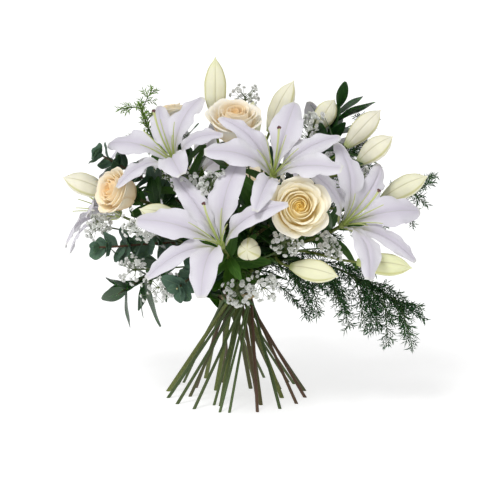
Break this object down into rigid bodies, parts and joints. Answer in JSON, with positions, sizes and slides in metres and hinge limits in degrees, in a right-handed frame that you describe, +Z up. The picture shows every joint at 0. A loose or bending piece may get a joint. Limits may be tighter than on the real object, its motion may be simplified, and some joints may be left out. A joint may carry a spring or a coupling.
{
  "type": "flower bouquet",
  "caption": "Hand-tied spiral bouquet of open lilies with buds, cream roses, gypsophila, eucalyptus and fern, standing on its splayed cut stems.",
  "frame": {"origin": "middle of the bouquet's outline, on the surface that the cut stems stand on", "axes": "+Z up, -Y towards the front that the picture shows, +X to the right as seen from the front"},
  "size_m": [0.4709, 0.4245, 0.4317],
  "materials": {
    "lily": "satin",
    "lily_centre": "satin",
    "bud": "satin",
    "lily_stem": "satin",
    "rose": "matte",
    "rose_stem": "satin",
    "eucalyptus": "matte",
    "leaves": "satin",
    "fern": "matte",
    "gypsophila": "matte",
    "tie": "matte"
  },
  "bodies": {
    "root": {"lily_1": "lily", "lily_2": "lily", "lily_3": "lily", "lily_4": "lily", "lily_5": "lily", "lily_6": "lily", "lily_7": "lily", "lily_1_centre": "lily_centre", "lily_2_centre": "lily_centre", "lily_3_centre": "lily_centre", "lily_4_centre": "lily_centre", "lily_5_centre": "lily_centre", "lily_6_centre": "lily_centre", "lily_7_centre": "lily_centre", "bud_1": "bud", "bud_2": "bud", "bud_3": "bud", "bud_4": "bud", "bud_5": "bud", "bud_6": "bud", "bud_7": "bud", "bud_8": "bud", "bud_9": "bud", "bud_10": "bud", "bud_11": "bud", "bud_12": "bud", "lily_stem_1": "lily_stem", "lily_stem_2": "lily_stem", "lily_stem_3": "lily_stem", "lily_stem_4": "lily_stem", "lily_stem_5": "lily_stem", "lily_stem_6": "lily_stem", "rose_1": "rose", "rose_2": "rose", "rose_3": "rose", "rose_4": "rose", "rose_5": "rose", "rose_1_stem": "rose_stem", "rose_2_stem": "rose_stem", "rose_3_stem": "rose_stem", "rose_4_stem": "rose_stem", "rose_5_stem": "rose_stem", "eucalyptus_1": "eucalyptus", "eucalyptus_2": "eucalyptus", "eucalyptus_3": "eucalyptus", "eucalyptus_4": "eucalyptus", "eucalyptus_5": "eucalyptus", "leaves_1": "leaves", "leaves_2": "leaves", "fern_1": "fern", "fern_2": "fern", "fern_3": "fern", "fern_4": "fern", "gypsophila_1": "gypsophila", "gypsophila_2": "gypsophila", "gypsophila_3": "gypsophila", "gypsophila_4": "gypsophila", "gypsophila_5": "gypsophila", "tie": "tie"}
  },
  "joints": []
}
